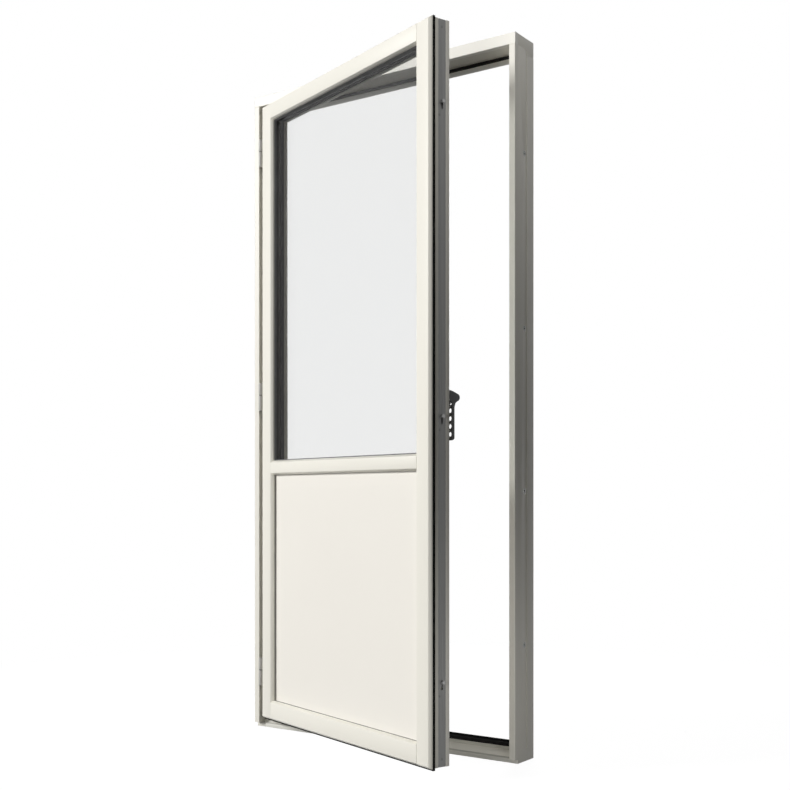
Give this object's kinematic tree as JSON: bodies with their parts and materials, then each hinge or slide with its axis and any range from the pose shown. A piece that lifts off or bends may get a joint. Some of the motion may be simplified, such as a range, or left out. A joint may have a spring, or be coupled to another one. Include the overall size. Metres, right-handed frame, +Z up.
{
  "type": "balcony door",
  "caption": "Outward-opening balcony door in its frame, with a glazed upper part, a solid lower panel, lift-off hinges and a lever-driven multi-point lock.",
  "frame": {"origin": "centre of the frame's underside, midway through the frame's depth", "axes": "+Z up, +Y into the room, +X from the hinge side to the lock side"},
  "size_m": [0.98, 0.4204, 2.08],
  "materials": {
    "painted_timber": "satin paint",
    "painted_cladding": "satin powder coat",
    "threshold_composite": "matt",
    "threshold_aluminium": "matt powder coat",
    "seal_rubber": "matt",
    "panel_bedding": "matt",
    "hinge_metal": "satin paint",
    "pin_steel": "satin",
    "lock_steel": "satin",
    "screw_steel": "satin",
    "cam_metal": "satin",
    "black_plastic": "matt",
    "window_glass": "polished",
    "spacer_dark": "matt",
    "painted_panel": "satin paint",
    "panel_core": "foam",
    "black_handle": "satin"
  },
  "bodies": {
    "frame": {"frame_head": "painted_timber", "frame_jamb_hinge": "painted_timber", "frame_jamb_lock": "painted_timber", "head_cladding": "painted_cladding", "jamb_cladding_hinge": "painted_cladding", "jamb_cladding_lock": "painted_cladding", "threshold_base": "threshold_composite", "threshold_plate": "threshold_aluminium", "frame_seal": "seal_rubber", "keeper_bottom": "lock_steel", "keeper_middle": "lock_steel", "keeper_top": "lock_steel", "keeper_screws": "screw_steel", "hinge_frame_bottom": "hinge_metal", "hinge_frame_middle": "hinge_metal", "hinge_frame_top": "hinge_metal", "hinge_pin_bottom": "pin_steel", "hinge_pin_middle": "pin_steel", "hinge_pin_top": "pin_steel", "hinge_washers": "black_plastic", "hinge_frame_screws": "screw_steel", "fixing_sleeves": "lock_steel"},
    "leaf": {"stile_hinge": "painted_timber", "stile_lock": "painted_timber", "rail_top": "painted_timber", "rail_middle": "painted_timber", "rail_bottom": "painted_timber", "stile_cladding_hinge": "painted_cladding", "stile_cladding_lock": "painted_cladding", "rail_cladding_top": "painted_cladding", "rail_cladding_middle": "painted_cladding", "rail_cladding_bottom": "painted_cladding", "leaf_seal": "seal_rubber", "pane_outer": "window_glass", "pane_middle": "window_glass", "pane_inner": "window_glass", "spacer_outer": "spacer_dark", "spacer_inner": "spacer_dark", "glass_seal": "seal_rubber", "glass_tape": "seal_rubber", "setting_blocks": "black_plastic", "panel_outer_board": "painted_panel", "panel_core": "panel_core", "panel_inner_board": "painted_panel", "panel_seal": "panel_bedding", "panel_tape": "seal_rubber", "hinge_leaf_bottom": "hinge_metal", "hinge_leaf_middle": "hinge_metal", "hinge_leaf_top": "hinge_metal", "hinge_leaf_screws": "screw_steel", "faceplate": "lock_steel", "faceplate_screws": "screw_steel", "gearbox_case": "lock_steel", "rosette": "black_handle", "rosette_screws": "screw_steel"},
    "handle": {"lever": "black_handle", "spindle": "lock_steel", "pinion": "lock_steel"},
    "drive": {"drive_bar": "lock_steel", "locking_cams": "cam_metal"}
  },
  "joints": [
    {"name": "leaf_swing", "type": "hinge", "parent": "frame", "child": "leaf", "pos_m": [-0.463, -0.056, 1.04], "axis": [0, 0, -1], "range_deg": [-19.7, 80]},
    {"name": "handle_turn", "type": "hinge", "parent": "leaf", "child": "handle", "pos_m": [0.39958, -0.29156, 1.033], "axis": [0.3371, 0.9415, 0], "range_deg": [0, 90]},
    {"name": "bar_slide", "type": "slide", "parent": "leaf", "child": "drive", "axis": [0, 0, -1], "range_m": [0, 0.01571]}
  ],
  "couplings": [
    {"joint": "bar_slide", "follows": "handle_turn", "m_per_rad": 0.01}
  ]
}
